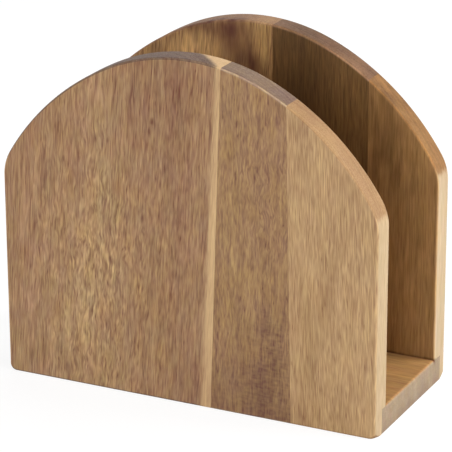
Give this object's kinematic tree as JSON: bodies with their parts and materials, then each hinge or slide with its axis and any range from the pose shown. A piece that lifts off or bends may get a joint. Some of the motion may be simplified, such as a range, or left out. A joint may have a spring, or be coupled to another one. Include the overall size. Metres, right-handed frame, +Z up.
{
  "type": "napkin holder",
  "caption": "Upright wooden napkin holder: two arched, edge-glued panels rebated over a base board, with a slot open at the top and ends.",
  "frame": {"origin": "centre of the underside, on the surface the holder stands on", "axes": "+X along the width of the panels, +Y from the front panel to the back panel, +Z up"},
  "size_m": [0.152, 0.0666, 0.1332],
  "materials": {
    "front_left_stave": "satin oiled acacia, medium brown with a pale sapwood stripe",
    "front_middle_stave": "satin oiled acacia, pinkish brown",
    "front_right_stave": "satin oiled acacia, golden tan",
    "back_left_stave": "satin oiled acacia, reddish brown with dark bands",
    "back_middle_stave": "satin oiled acacia, dark brown",
    "back_right_stave": "satin oiled acacia, tan brown",
    "base_board": "satin oiled acacia, orange brown, grain along the board"
  },
  "bodies": {
    "root": {"front_left_stave": "front_left_stave", "front_middle_stave": "front_middle_stave", "front_right_stave": "front_right_stave", "back_left_stave": "back_left_stave", "back_middle_stave": "back_middle_stave", "back_right_stave": "back_right_stave", "base_board": "base_board"}
  },
  "joints": []
}
